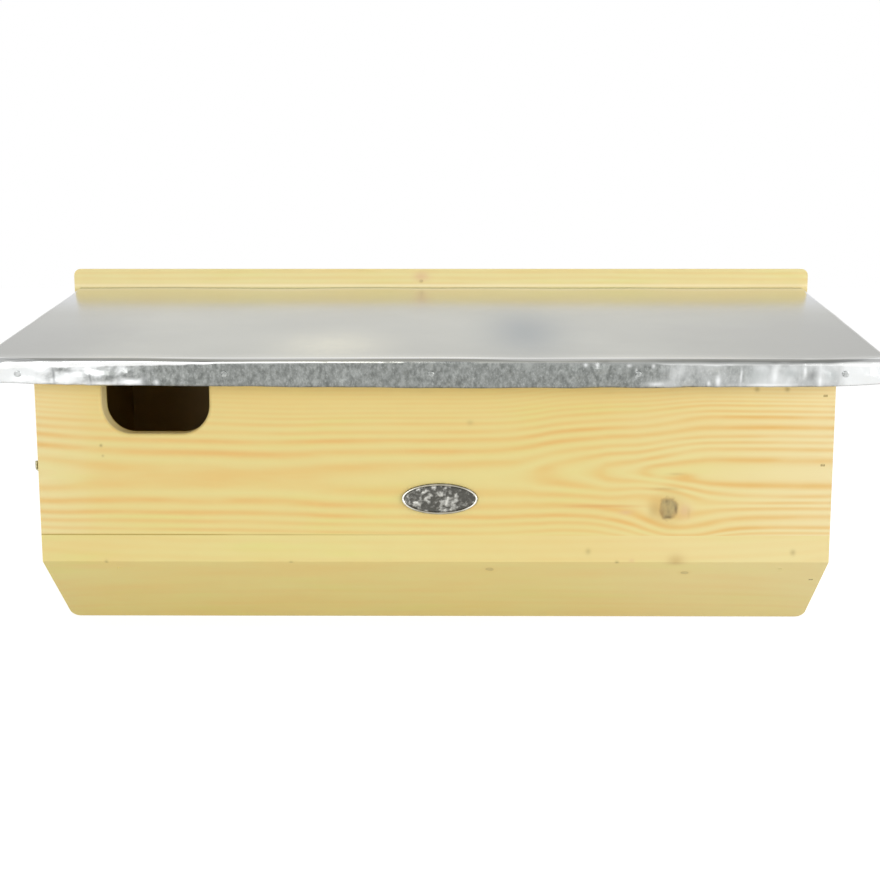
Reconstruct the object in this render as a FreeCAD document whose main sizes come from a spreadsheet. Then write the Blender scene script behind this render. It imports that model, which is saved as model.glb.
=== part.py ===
import FreeCAD, Part
import os
import Sketcher

# Swift nest box: a long box of nailed pine boards that hangs flat on a wall, under a sloping board roof
# covered with one folded sheet of zinc. The left end is a cleaning door on two nails, held by a hook.
# Frame: X to the viewer's right, Y into the wall, Z up. The origin lies on the wall plane, at the bottom
# edge of the back board and half way along it. Lengths are in millimetres, angles in degrees.

SIZES = (
    # wooden body
    ("body_width", 480),
    ("body_depth", 174),
    ("front_height", 165.5),
    ("wall", 12),
    ("floor_board", 12),
    ("slope_run", 52),
    ("slope_drop", 49),
    ("slope_corner", 5),
    # board on the wall
    ("back_board", 12),
    ("back_margin", 3.2),
    ("back_rise", 14.4),
    ("back_corner", 5),
    ("screw_hole", 5),
    ("screw_inset", 15.2),
    ("screw_low", 40),
    ("screw_spacing", 120),
    # roof
    ("roof_board", 12),
    ("roof_pitch", 10.8),
    ("front_overhang", 24),
    ("side_overhang", 25),
    ("zinc", 0.7),
    ("flap", 15.6),
    ("bend", 1.6),
    # entrance, open at the top under the roof
    ("entrance_width", 64.6),
    ("entrance_inset", 39.9),
    ("entrance_height", 37.6),
    ("entrance_corner", 17.5),
    ("entrance_ease", 2),
    # cleaning door
    ("door_gap", 0.6),
    ("door_top_gap", 4),
    ("pivot_drop", 5.5),
    ("pivot_shank", 2.4),
    ("pivot_head", 3.6),
    ("pivot_head_depth", 1),
    ("pivot_length", 32),
    ("pivot_point", 2),
    ("turning_fit", 0.06),
    ("hole_end", 1),
    # hook that holds the door
    ("hook_height", 104.4),
    ("hook_setback", 8.5),
    ("hook_wire", 1.7),
    ("hook_bend", 1.6),
    ("hook_standoff", 2.9),
    ("hook_arm", 5.6),
    ("hook_depth", 16),
    # oval plate
    ("plate_width", 46),
    ("plate_height", 19),
    ("plate_depth", 1.6),
    ("plate_rim", 1.3),
    ("plate_field", 0.6),
    ("plate_right", 3),
    ("plate_level", 88.3),
    # flat wire brads, driven flush into the wood
    ("brad_wire", 1.4),
    ("brad_head", 2.6),
    ("brad_head_depth", 0.8),
    ("brad_length", 32),
    ("brad_point", 1.5),
    ("brad_sink", 0.3),
    # clout nails with round heads and square shanks, which hold the zinc
    ("clout_shank", 1.8),
    ("clout_point", 3),
    ("clout_head", 3.8),
    ("clout_head_depth", 0.7),
    ("clout_length", 15),
    ("clout_drop", 8),
    # rows of nails, from the edges that they keep clear of
    ("front_flap_left", 23.5),
    ("front_flap_right", 26.5),
    ("side_flap_inset", 30),
    ("front_nail_drop", 14.5),
    ("front_nail_run", 42),
    ("slope_nail_down", 21.5),
    ("slope_front_left", 45),
    ("slope_front_right", 28),
    ("roof_front_left", 35.5),
    ("roof_front_right", 16),
    ("roof_side_inset", 32),
    ("back_row_inset", 60),
    ("back_side_inset", 44),
    ("floor_end_inset", 26),
)

doc = FreeCAD.newDocument("swift_nest_box")
sheet = doc.addObject("Spreadsheet::Sheet", "dims")
for row, (alias, number) in enumerate(SIZES, start=1):
    sheet.set(f"A{row}", alias)
    sheet.set(f"B{row}", str(number))
    sheet.setAlias(f"B{row}", alias)
doc.recompute()

# Places that several boards share, as expressions on the sheet
BACK = "(-dims.back_board)"
FRONT = "(-dims.back_board - dims.body_depth)"
FRONT_INNER = f"({FRONT} + dims.wall)"
FRONT_MIDDLE = f"({FRONT} + dims.wall / 2)"
END = "(dims.body_width / 2)"
END_INNER = f"({END} - dims.wall)"
END_MIDDLE = f"({END} - dims.wall / 2)"
FLOOR_MIDDLE = "(dims.floor_board / 2)"
ENTRANCE_SILL = "(dims.front_height - dims.entrance_height)"
ENTRANCE_FROM = f"(dims.entrance_inset - {END})"
ENTRANCE_TO = f"({ENTRANCE_FROM} + dims.entrance_width)"
PIVOT_LEVEL = "(dims.front_height - dims.pivot_drop)"
ROOF_COS = "cos(dims.roof_pitch)"
ROOF_SIN = "sin(dims.roof_pitch)"
ROOF_END = f"({END} + dims.side_overhang)"
SLOPE_TAN = "(dims.slope_drop / dims.slope_run)"
SLOPE_ANGLE = "(atan(dims.slope_drop / dims.slope_run) / 1 deg)"
SLOPE_PLUMB = f"(dims.wall / cos({SLOPE_ANGLE}))"
DOOR_FRONT = f"({FRONT_INNER} + dims.door_gap)"
DOOR_BACK = f"({BACK} - dims.door_gap)"
DOOR_RISE = f"({SLOPE_PLUMB} + dims.door_gap / cos({SLOPE_ANGLE}))"
HOOK_Y = f"({FRONT} + dims.hook_setback)"
HOOK_OUT = f"({END} + dims.hook_standoff + dims.hook_wire / 2)"


def roof_line(y, rise="0"):
    """Height at y of a line that lies rise above the underside of the roof board, square to it."""
    return f"(dims.front_height + ({y} - {FRONT}) * tan(dims.roof_pitch) + ({rise}) / {ROOF_COS})"


def slope_line(y, rise="0"):
    """Height at y of a line that lies rise straight above the outer face of the slope board."""
    return f"(dims.slope_drop - ({y} - {FRONT}) * {SLOPE_TAN} + {rise})"


def slope_reach(z, rise="0"):
    """Where the line of slope_line comes down to the height z."""
    return f"({FRONT} + (dims.slope_drop + {rise} - {z}) / {SLOPE_TAN})"


FOLD_Y = f"({FRONT} - dims.front_overhang)"
FOLD_Z = roof_line(FOLD_Y, "dims.roof_board + dims.zinc")
ROOF_RUN = f"(({BACK} - {FOLD_Y}) / {ROOF_COS})"
RAKE_RUN = f"(({BACK} - {FRONT_INNER}) / {ROOF_COS})"
BACK_EDGE = f"({ROOF_END} + dims.back_margin)"
BACK_TOP = f"({roof_line(BACK, 'dims.roof_board + dims.zinc')} + dims.back_rise)"
FLOOR_FRONT = slope_reach("dims.floor_board", SLOPE_PLUMB)


def on_roof(along, below):
    """The point that lies along the roof from its front fold and below its top face, square to it."""
    y = f"({FOLD_Y} + ({along}) * {ROOF_COS} + ({below}) * {ROOF_SIN})"
    z = f"({FOLD_Z} + ({along}) * {ROOF_SIN} - ({below}) * {ROOF_COS})"
    return y, z


def value(expression):
    return float(sheet.evalExpression(expression))


def origin_part(body, role):
    return next(item for item in body.Origin.OriginFeatures if item.Role == role)


def new_body(name):
    body = doc.addObject("PartDesign::Body", name)
    body.AllowCompound = True
    return body


def new_sketch(body, name, plane, offset="0"):
    sketch = body.newObject("Sketcher::SketchObject", name)
    sketch.AttachmentSupport = [(origin_part(body, plane), "")]
    sketch.MapMode = "FlatFace"
    sketch.setExpression("AttachmentOffset.Base.z", offset)
    return sketch


def tie(sketch, kind, expression, *where):
    """Adds a dimension whose value follows an expression on the sheet."""
    index = sketch.addConstraint(Sketcher.Constraint(kind, *where, value(expression)))
    sketch.setExpression(f"Constraints[{index}]", expression)


def tie_point(sketch, line, end, across, up):
    tie(sketch, "DistanceX", across, -1, 1, line, end)
    tie(sketch, "DistanceY", up, -1, 1, line, end)


def flat_point(across, up):
    return FreeCAD.Vector(value(across), value(up), 0)


def outline(body, name, plane, corners, offset="0"):
    """A closed outline of straight lines, each corner tied to a pair of expressions."""
    sketch = new_sketch(body, name, plane, offset)
    points = [flat_point(across, up) for across, up in corners]
    for start, end in zip(points, points[1:] + points[:1]):
        sketch.addGeometry(Part.LineSegment(start, end))
    for line in range(len(corners)):
        sketch.addConstraint(Sketcher.Constraint("Coincident", line, 2, (line + 1) % len(corners), 1))
    for line, (across, up) in enumerate(corners):
        tie_point(sketch, line, 1, across, up)
    return sketch


def circles(body, name, plane, centres, radius, offset="0"):
    sketch = new_sketch(body, name, plane, offset)
    for number, (across, up) in enumerate(centres):
        sketch.addGeometry(Part.Circle(flat_point(across, up), FreeCAD.Vector(0, 0, 1), value(radius)))
        tie_point(sketch, number, 3, across, up)
        tie(sketch, "Radius", radius, number)
    return sketch


def pad(body, sketch, length, side="One side"):
    feature = body.newObject("PartDesign::Pad", f"{sketch.Name}_pad")
    feature.Profile = sketch
    feature.SideType = side
    feature.setExpression("Length", length)
    doc.recompute()
    return feature


def pocket(body, sketch, depth, turned_round=False):
    """Cuts a sketch into its body, and stops the build if it cut nothing."""
    before = body.Shape.Volume
    feature = body.newObject("PartDesign::Pocket", f"{sketch.Name}_cut")
    feature.Profile = sketch
    feature.Reversed = turned_round
    feature.setExpression("Length", depth)
    doc.recompute()
    if body.Shape.Volume >= before:
        raise RuntimeError(f"{feature.Name} cut nothing")
    return feature


def round_edges(body, feature, radius, chosen):
    """Rounds the edges of a feature that the test picks by their middle point and direction."""
    names = []
    for number, edge in enumerate(feature.Shape.Edges, start=1):
        middle = edge.valueAt((edge.FirstParameter + edge.LastParameter) / 2)
        run = edge.Vertexes[-1].Point - edge.Vertexes[0].Point
        if chosen(middle, run):
            names.append(f"Edge{number}")
    fillet = body.newObject("PartDesign::Fillet", f"{feature.Name}_round")
    fillet.Base = (feature, names)
    fillet.setExpression("Radius", radius)
    doc.recompute()
    return fillet


def near(one, other):
    return abs(one - other) < 0.001


def along_y(run):
    return near(run.x, 0) and near(run.z, 0)


def driven(name, blank, nails):
    """The finished board: its blank, with the holes that its nails press for themselves."""
    tools = doc.addObject("Part::Compound", f"{name}_nails_set")
    tools.Links = nails
    board = doc.addObject("Part::Cut", name)
    board.Base = blank
    board.Tool = tools
    return board


def placed(x, y, z, rotation):
    return f"placement(vector({x}; {y}; {z}); {rotation})"


def about_x(angle):
    return f"rotation(vector(1; 0; 0); {angle})"


def about_y(angle):
    return f"rotation(vector(0; 1; 0); {angle})"


FACING_FRONT = about_x("90")
FACING_WALL = about_x("-90")
FACING_RIGHT = about_y("90")

# A nail's local Z points out of the wood, from 0 at the face that it is driven into


def in_row(body, features, place, count, run, direction):
    """Spreads copies of a nail evenly over a run along one of its own axes, and puts the row in place."""
    if count > 1:
        row = body.newObject("PartDesign::LinearPattern", f"{body.Name}_row")
        row.Originals = features
        row.Direction = (origin_part(body, direction), [""])
        row.Mode = "Spacing"
        row.setExpression("Offset", f"({run}) / {count - 1}")
        row.Occurrences = count
        body.Tip = row
    body.setExpression("Placement", place)
    doc.recompute()
    return body


def brad_row(name, place, count=1, run="0", direction="X_Axis", top="0"):
    """Brads of flat wire with a T head and a chisel point."""
    body = new_body(name)
    head = "dims.brad_head / 2"
    wire = "dims.brad_wire / 2"
    under = "-dims.brad_head_depth"
    shoulder = "dims.brad_point - dims.brad_length"
    sketch = outline(body, f"{name}_outline", "XZ_Plane", [
        (f"-{head}", top),
        (head, top),
        (head, under),
        (wire, under),
        (wire, shoulder),
        ("0", "-dims.brad_length"),
        (f"-{wire}", shoulder),
        (f"-{wire}", under),
        (f"-{head}", under),
    ])
    brad = pad(body, sketch, "dims.brad_wire", "Symmetric")
    return in_row(body, [brad], place, count, run, direction)


def clout_row(name, place, count, run, direction="X_Axis"):
    """Clout nails: a round head that stands on the sheet, and a pointed square shank."""
    body = new_body(name)
    disc = circles(body, f"{name}_disc", "XY_Plane", [("0", "0")], "dims.clout_head / 2")
    head = pad(body, disc, "dims.clout_head_depth")
    half = "dims.clout_shank / 2"
    shoulder = "dims.clout_point - dims.clout_length"
    blade = outline(body, f"{name}_blade", "XZ_Plane", [
        (f"-{half}", "0"),
        (half, "0"),
        (half, shoulder),
        ("0", "-dims.clout_length"),
        (f"-{half}", shoulder),
    ])
    shank = pad(body, blade, "dims.clout_shank", "Symmetric")
    return in_row(body, [head, shank], place, count, run, direction)


def pivot_nail(name, place):
    """A round wire nail, turned from half its outline, that the door swings on."""
    body = new_body(name)
    head = "dims.pivot_head / 2"
    wire = "dims.pivot_shank / 2"
    half = outline(body, f"{name}_half", "XZ_Plane", [
        ("0", "0"),
        (head, "0"),
        (head, "-dims.pivot_head_depth"),
        (wire, "-dims.pivot_head_depth"),
        (wire, "dims.pivot_point - dims.pivot_length"),
        ("0", "-dims.pivot_length"),
    ])
    nail = body.newObject("PartDesign::Revolution", f"{name}_turned")
    nail.Profile = half
    nail.ReferenceAxis = (half, ["V_Axis"])
    nail.Angle = 360
    body.setExpression("Placement", place)
    doc.recompute()
    return body


# Clout nails through the zinc into the edges of the roof board
flap_start = f"(dims.front_flap_left - {ROOF_END})"
flap_y, flap_z = on_roof("0", "dims.clout_drop")
front_flap_nails = clout_row(
    "front_flap_nails", placed(flap_start, flap_y, flap_z, about_x("90 + dims.roof_pitch")),
    count=5, run=f"{ROOF_END} - dims.front_flap_right - {flap_start}")

side_y, side_z = on_roof("dims.side_flap_inset", "dims.clout_drop")
side_run = f"{ROOF_RUN} - 2 * dims.side_flap_inset"
left_flap_nails = clout_row(
    "left_flap_nails",
    placed(f"-{ROOF_END}", side_y, side_z, f"{about_x('dims.roof_pitch')} * {about_y('-90')}"),
    count=3, run=side_run, direction="Y_Axis")
right_flap_nails = clout_row(
    "right_flap_nails",
    placed(ROOF_END, side_y, side_z, f"{about_x('dims.roof_pitch')} * {about_y('90')}"),
    count=3, run=side_run, direction="Y_Axis")

# Brads through the front panel and the slope board into the right end
front_nail_level = "dims.front_height - dims.front_nail_drop - dims.front_nail_run"
front_panel_nails = brad_row(
    "front_panel_nails", placed(END_MIDDLE, FRONT, front_nail_level, FACING_FRONT),
    count=2, run="dims.front_nail_run", direction="Y_Axis")
slope_nail_y = f"({FRONT} + dims.slope_nail_down * cos({SLOPE_ANGLE}))"
slope_end_nail = brad_row(
    "slope_end_nail",
    placed(END_MIDDLE, slope_nail_y, slope_line(slope_nail_y), about_x(f"180 - {SLOPE_ANGLE}")))

# These two go straight up into the front panel, so their heads sink below the sloping face
sunk = f"dims.brad_wire / 2 * {SLOPE_TAN} + dims.brad_sink"
sunk_place = placed(
    f"dims.slope_front_left - {END}", FRONT_MIDDLE, slope_line(FRONT_MIDDLE, sunk), about_x("180"))
sunk_run = "dims.body_width - dims.slope_front_left - dims.slope_front_right"
slope_front_nails = brad_row("slope_front_nails", sunk_place, count=2, run=sunk_run)
slope_front_punch = brad_row(
    "slope_front_punch", sunk_place, count=2, run=sunk_run, top="3 * dims.brad_head")

# Brads down through the roof board, hidden by the zinc
top_y = f"({FRONT_MIDDLE} - dims.roof_board * {ROOF_SIN})"
top_z = f"({roof_line(FRONT_MIDDLE)} + dims.roof_board * {ROOF_COS})"
top_start = f"({ENTRANCE_TO} + dims.roof_front_left)"
roof_front_nails = brad_row(
    "roof_front_nails", placed(top_start, top_y, top_z, about_x("dims.roof_pitch")),
    count=4, run=f"{END} - dims.roof_front_right - {top_start}")
rake_foot = f"({FRONT_INNER} + dims.roof_side_inset * {ROOF_COS})"
rake_y = f"({rake_foot} - dims.roof_board * {ROOF_SIN})"
rake_z = f"({roof_line(rake_foot)} + dims.roof_board * {ROOF_COS})"
roof_side_nails = brad_row(
    "roof_side_nails", placed(END_MIDDLE, rake_y, rake_z, about_x("dims.roof_pitch")),
    count=3, run=f"{RAKE_RUN} - 2 * dims.roof_side_inset", direction="Y_Axis")

# Brads through the back board and the right end
back_start = f"({END} - dims.back_row_inset)"
back_floor_nails = brad_row(
    "back_floor_nails", placed(f"-{back_start}", "0", FLOOR_MIDDLE, FACING_WALL),
    count=4, run=f"2 * {back_start}")
back_roof_nails = brad_row(
    "back_roof_nails",
    placed(f"-{back_start}", "0", roof_line(BACK, "dims.roof_board / 2"), FACING_WALL),
    count=4, run=f"2 * {back_start}")
back_side_nails = brad_row(
    "back_side_nails",
    placed(END_MIDDLE, "0", f"{roof_line(BACK)} - dims.back_side_inset", FACING_WALL),
    count=3, run=f"{roof_line(BACK)} - 2 * dims.back_side_inset", direction="Y_Axis")
floor_end_nails = brad_row(
    "floor_end_nails",
    placed(END, f"{FLOOR_FRONT} + dims.floor_end_inset", FLOOR_MIDDLE, FACING_RIGHT),
    count=3, run=f"{BACK} - {FLOOR_FRONT} - 2 * dims.floor_end_inset", direction="Y_Axis")

# The two nails that the cleaning door swings on
front_pivot_nail = pivot_nail(
    "front_pivot_nail", placed(f"-{END_MIDDLE}", FRONT, PIVOT_LEVEL, FACING_FRONT))
rear_pivot_nail = pivot_nail(
    "rear_pivot_nail", placed(f"-{END_MIDDLE}", "0", PIVOT_LEVEL, FACING_WALL))

# Back board, wider than the body so that it can be screwed to the wall beside it
back_blank = new_body("back_board_blank")
back_sketch = outline(back_blank, "back_outline", "XZ_Plane", [
    (f"-{BACK_EDGE}", "0"),
    (BACK_EDGE, "0"),
    (BACK_EDGE, BACK_TOP),
    (f"-{BACK_EDGE}", BACK_TOP),
])
back_pad = pad(back_blank, back_sketch, "dims.back_board")
round_edges(back_blank, back_pad, "dims.back_corner", lambda middle, run: along_y(run))
screw_x = f"({BACK_EDGE} - dims.screw_inset)"
screw_levels = ("dims.screw_low", "dims.screw_low + dims.screw_spacing")
screw_sketch = circles(
    back_blank, "screw_holes", "XZ_Plane",
    [(x, z) for x in (f"-{screw_x}", screw_x) for z in screw_levels],
    "dims.screw_hole / 2")
pocket(back_blank, screw_sketch, "dims.back_board", turned_round=True)
back_board = driven(
    "back_board", back_blank, [back_floor_nails, back_roof_nails, back_side_nails, rear_pivot_nail])

# Slope board: its front edge is cut plumb and shows as a strip below the front panel
slope_blank = new_body("slope_board_blank")
slope_sketch = outline(slope_blank, "slope_profile", "YZ_Plane", [
    (FRONT, "dims.slope_drop"),
    (FRONT, slope_line(FRONT, SLOPE_PLUMB)),
    (slope_reach("0", SLOPE_PLUMB), "0"),
    (slope_reach("0"), "0"),
])
slope_pad = pad(slope_blank, slope_sketch, "dims.body_width", "Symmetric")
round_edges(slope_blank, slope_pad, "dims.slope_corner",
            lambda middle, run: along_y(run) and near(middle.z, 0))
slope_board = driven("slope_board", slope_blank, [slope_end_nail, slope_front_punch])

# Front panel: bevelled onto the slope board and up to the roof, with the entrance cut down from its top
front_blank = new_body("front_panel_blank")
front_sketch = outline(front_blank, "front_profile", "YZ_Plane", [
    (FRONT, slope_line(FRONT, SLOPE_PLUMB)),
    (FRONT, roof_line(FRONT)),
    (FRONT_INNER, roof_line(FRONT_INNER)),
    (FRONT_INNER, slope_line(FRONT_INNER, SLOPE_PLUMB)),
])
pad(front_blank, front_sketch, "dims.body_width", "Symmetric")
entrance_top = roof_line(FRONT_INNER)
entrance_sketch = outline(front_blank, "entrance", "XZ_Plane", [
    (ENTRANCE_FROM, ENTRANCE_SILL),
    (ENTRANCE_TO, ENTRANCE_SILL),
    (ENTRANCE_TO, entrance_top),
    (ENTRANCE_FROM, entrance_top),
], f"-{FRONT}")
entrance_cut = pocket(front_blank, entrance_sketch, "dims.wall")
entrance_shape = round_edges(
    front_blank, entrance_cut, "dims.entrance_corner",
    lambda middle, run: along_y(run) and near(middle.z, value(ENTRANCE_SILL)))


def at_entrance(middle, run):
    beside = abs(middle.x - value(ENTRANCE_FROM) - value("dims.entrance_width / 2"))
    return near(middle.y, value(FRONT)) and beside < value("dims.entrance_width / 2") + 0.001


round_edges(front_blank, entrance_shape, "dims.entrance_ease", at_entrance)
hook_hole = circles(front_blank, "hook_hole", "YZ_Plane", [(HOOK_Y, "dims.hook_height")],
                    "dims.hook_wire / 2 + dims.turning_fit", f"-{END}")
pocket(front_blank, hook_hole, "dims.hook_depth + dims.hole_end", turned_round=True)
front_panel = driven(
    "front_panel", front_blank,
    [front_panel_nails, slope_front_nails, roof_front_nails, front_pivot_nail])

# Floor, bevelled against the slope board; its left end stops the door
floor_blank = new_body("floor_board_blank")
floor_sketch = outline(floor_blank, "floor_profile", "YZ_Plane", [
    (slope_reach("0", SLOPE_PLUMB), "0"),
    (FLOOR_FRONT, "dims.floor_board"),
    (BACK, "dims.floor_board"),
    (BACK, "0"),
])
pad(floor_blank, floor_sketch, "dims.body_width - 2 * dims.wall", "Symmetric")
floor_board = driven("floor_board", floor_blank, [back_floor_nails, floor_end_nails])

# Right end, fixed behind the front panel and above the slope board
right_blank = new_body("right_side_blank")
right_sketch = outline(right_blank, "right_profile", "YZ_Plane", [
    (FRONT_INNER, slope_line(FRONT_INNER, SLOPE_PLUMB)),
    (FRONT_INNER, roof_line(FRONT_INNER)),
    (BACK, roof_line(BACK)),
    (BACK, "0"),
    (slope_reach("0", SLOPE_PLUMB), "0"),
], END_INNER)
pad(right_blank, right_sketch, "dims.wall")
right_side_panel = driven(
    "right_side_panel", right_blank,
    [front_panel_nails, slope_end_nail, roof_side_nails, back_side_nails, floor_end_nails])

# Cleaning door: the left end, free all round and hung on the two pivot nails
cleaning_door = new_body("cleaning_door")
door_sketch = outline(cleaning_door, "door_profile", "YZ_Plane", [
    (DOOR_FRONT, slope_line(DOOR_FRONT, DOOR_RISE)),
    (DOOR_FRONT, f"{roof_line(DOOR_FRONT)} - dims.door_top_gap"),
    (DOOR_BACK, f"{roof_line(DOOR_BACK)} - dims.door_top_gap"),
    (DOOR_BACK, "dims.door_gap"),
    (slope_reach("dims.door_gap", DOOR_RISE), "dims.door_gap"),
], f"-{END}")
pad(cleaning_door, door_sketch, "dims.wall")
pivot_centre = [(f"-{END_MIDDLE}", PIVOT_LEVEL)]
pivot_radius = "dims.pivot_shank / 2 + dims.turning_fit"
front_bore = circles(
    cleaning_door, "front_pivot_bore", "XZ_Plane", pivot_centre, pivot_radius, f"-{DOOR_FRONT}")
pocket(cleaning_door, front_bore,
       "dims.pivot_length - dims.wall - dims.door_gap + dims.hole_end")
rear_bore = circles(
    cleaning_door, "rear_pivot_bore", "XZ_Plane", pivot_centre, pivot_radius, f"-{DOOR_BACK}")
pocket(cleaning_door, rear_bore,
       "dims.pivot_length - dims.back_board - dims.door_gap + dims.hole_end", turned_round=True)


def folded_block(name, profile, end, radius):
    """A block of the roof, rounded along the edges where the zinc folds: front, rakes and front corners."""
    body = new_body(name)
    block = pad(body, outline(body, f"{name}_profile", "YZ_Plane", profile), f"2 * ({end})", "Symmetric")
    end_x = value(end)
    front_z = value(profile[0][1])
    roof_slope = value("tan(dims.roof_pitch)")

    def is_fold(middle, run):
        front = near(run.y, 0) and near(run.z, 0) and near(middle.z, front_z)
        at_end = near(abs(middle.x), end_x)
        in_upper_half = middle.z > value(roof_line(str(middle.y), "dims.roof_board / 2"))
        rake = at_end and in_upper_half and near(run.z, run.y * roof_slope)
        corner = at_end and near(run.y, -run.z * roof_slope)
        return front or rake or corner

    round_edges(body, block, radius, is_fold)
    return body


INNER_BEND = "dims.bend - dims.zinc"
INNER_ROOF_END = f"({ROOF_END} - dims.zinc)"

# Roof board: front edge square to its faces, rear edge plumb against the back board
roof_blank = folded_block("roof_board_blank", [
    on_roof("dims.zinc", "dims.zinc"),
    (BACK, roof_line(BACK, "dims.roof_board")),
    (BACK, roof_line(BACK)),
    on_roof("dims.zinc", "dims.zinc + dims.roof_board"),
], INNER_ROOF_END, INNER_BEND)
roof_board = driven(
    "roof_board", roof_blank,
    [front_flap_nails, left_flap_nails, right_flap_nails, roof_front_nails, roof_side_nails, back_roof_nails])

# Zinc sheet: the roof's outer form less the form that it is folded over, open below and behind
zinc_outside = folded_block("zinc_outside", [
    on_roof("0", "0"),
    (BACK, roof_line(BACK, "dims.roof_board + dims.zinc")),
    (BACK, roof_line(BACK, "dims.roof_board + dims.zinc - dims.flap")),
    on_roof("0", "dims.flap"),
], ROOF_END, "dims.bend")
PAST_BACK = f"({BACK} + dims.flap)"
zinc_inside = folded_block("zinc_inside", [
    on_roof("dims.zinc", "dims.zinc"),
    (PAST_BACK, roof_line(PAST_BACK, "dims.roof_board")),
    (PAST_BACK, roof_line(PAST_BACK, "dims.roof_board - 2 * dims.flap")),
    on_roof("dims.zinc", "2 * dims.flap"),
], INNER_ROOF_END, INNER_BEND)
zinc_folded = doc.addObject("Part::Cut", "zinc_folded")
zinc_folded.Base = zinc_outside
zinc_folded.Tool = zinc_inside
zinc_roof_sheet = driven(
    "zinc_roof_sheet", zinc_folded, [front_flap_nails, left_flap_nails, right_flap_nails])

# Hook: wire turned in the end of the front panel, with a short arm that swings over the door
turn_hook = new_body("turn_hook")
wire_start = f"(dims.hook_depth - {END})"
hook_path = new_sketch(turn_hook, "hook_path", "XZ_Plane", f"-{HOOK_Y}")
path_points = [
    (wire_start, "dims.hook_height"),
    (f"dims.hook_bend - {HOOK_OUT}", "dims.hook_height"),
    (f"-{HOOK_OUT}", "dims.hook_height + dims.hook_bend"),
    (f"-{HOOK_OUT}", "dims.hook_height + dims.hook_arm"),
]
shank_start, bend_start, bend_end, arm_end = [flat_point(across, up) for across, up in path_points]
bend_centre = FreeCAD.Vector(bend_start.x, bend_end.y, 0)
bend_circle = Part.Circle(bend_centre, FreeCAD.Vector(0, 0, 1), value("dims.hook_bend"))
half_turn = value("pi")
hook_path.addGeometry(Part.LineSegment(shank_start, bend_start))
hook_path.addGeometry(Part.ArcOfCircle(bend_circle, half_turn, half_turn * 3 / 2))
hook_path.addGeometry(Part.LineSegment(bend_end, arm_end))
hook_path.addConstraint(Sketcher.Constraint("Coincident", 0, 2, 1, 2))
hook_path.addConstraint(Sketcher.Constraint("Coincident", 1, 1, 2, 1))
for line, end, (across, up) in zip((0, 0, 2, 2), (1, 2, 1, 2), path_points):
    tie_point(hook_path, line, end, across, up)
tie(hook_path, "Radius", "dims.hook_bend", 1)
hook_section = circles(turn_hook, "hook_section", "YZ_Plane", [(HOOK_Y, "dims.hook_height")],
                       "dims.hook_wire / 2", wire_start)
hook_wire = turn_hook.newObject("PartDesign::AdditivePipe", "hook_bent_wire")
hook_wire.Profile = hook_section
hook_wire.Spine = (hook_path, ["Edge1", "Edge2", "Edge3"])


def oval_block(name, inset, start, depth):
    """An upright oval block in front of the panel, smaller than the plate by the inset."""
    oval = doc.addObject("Part::Ellipse", f"{name}_outline")
    oval.setExpression("MajorRadius", f"dims.plate_width / 2 - {inset}")
    oval.setExpression("MinorRadius", f"dims.plate_height / 2 - {inset}")
    oval.setExpression("Placement", placed(
        "dims.plate_right", f"{FRONT} - {start}", "dims.plate_level", FACING_FRONT))
    block = doc.addObject("Part::Extrusion", name)
    block.Base = oval
    block.DirMode = "Custom"
    block.Dir = FreeCAD.Vector(0, -1, 0)
    block.Solid = True
    block.setExpression("LengthFwd", depth)
    return block


# Oval plate: bare, with a raised rim round a sunk field
plate_block = oval_block("plate_block", "0", "0", "dims.plate_depth")
plate_recess = oval_block("plate_recess", "dims.plate_rim", "(dims.plate_depth - dims.plate_field)",
                          "dims.plate_field")
oval_plate = doc.addObject("Part::Cut", "oval_plate")
oval_plate.Base = plate_block
oval_plate.Tool = plate_recess

doc.recompute()

PIECES = (
    back_board, front_panel, slope_board, floor_board, right_side_panel, cleaning_door,
    roof_board, zinc_roof_sheet, oval_plate, turn_hook, front_pivot_nail, rear_pivot_nail,
    front_flap_nails, left_flap_nails, right_flap_nails, front_panel_nails, slope_end_nail,
    slope_front_nails, roof_front_nails, roof_side_nails, back_floor_nails, back_roof_nails,
    back_side_nails, floor_end_nails,
)

for item in doc.Objects:
    if "Invalid" in item.State or "Error" in item.State:
        raise RuntimeError(f"{item.Name} failed: {item.State}")
for piece in PIECES:
    if piece.Shape.isNull() or not piece.Shape.isValid():
        raise RuntimeError(f"{piece.Label} has no valid shape")

os.makedirs("parts", exist_ok=True)
for piece in PIECES:
    piece.Shape.exportStep(f"parts/{piece.Label}.step")
    box = piece.Shape.BoundBox
    print(f"{piece.Label}: {len(piece.Shape.Solids)} solids, {piece.Shape.Volume:.1f} mm3, "
          f"X {box.XMin:.1f} to {box.XMax:.1f}, Y {box.YMin:.1f} to {box.YMax:.1f}, "
          f"Z {box.ZMin:.1f} to {box.ZMax:.1f}")
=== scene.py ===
# %% [markdown]
# # A swift nest box in pine and zinc
# This lesson dresses a finished CAD model. The model comes in as a fixed frame of named solids, in metres,
# with X to the right, Y into the wall and Z up. Boards and nails keep their CAD shape and get a finish.
# The zinc sheet and the small oval plate are made again here, because a hand-folded sheet and a cast plate
# have a surface that plain solids don't show.

import math
import random
from types import SimpleNamespace

import bmesh
import bpy
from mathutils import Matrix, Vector, noise


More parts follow.
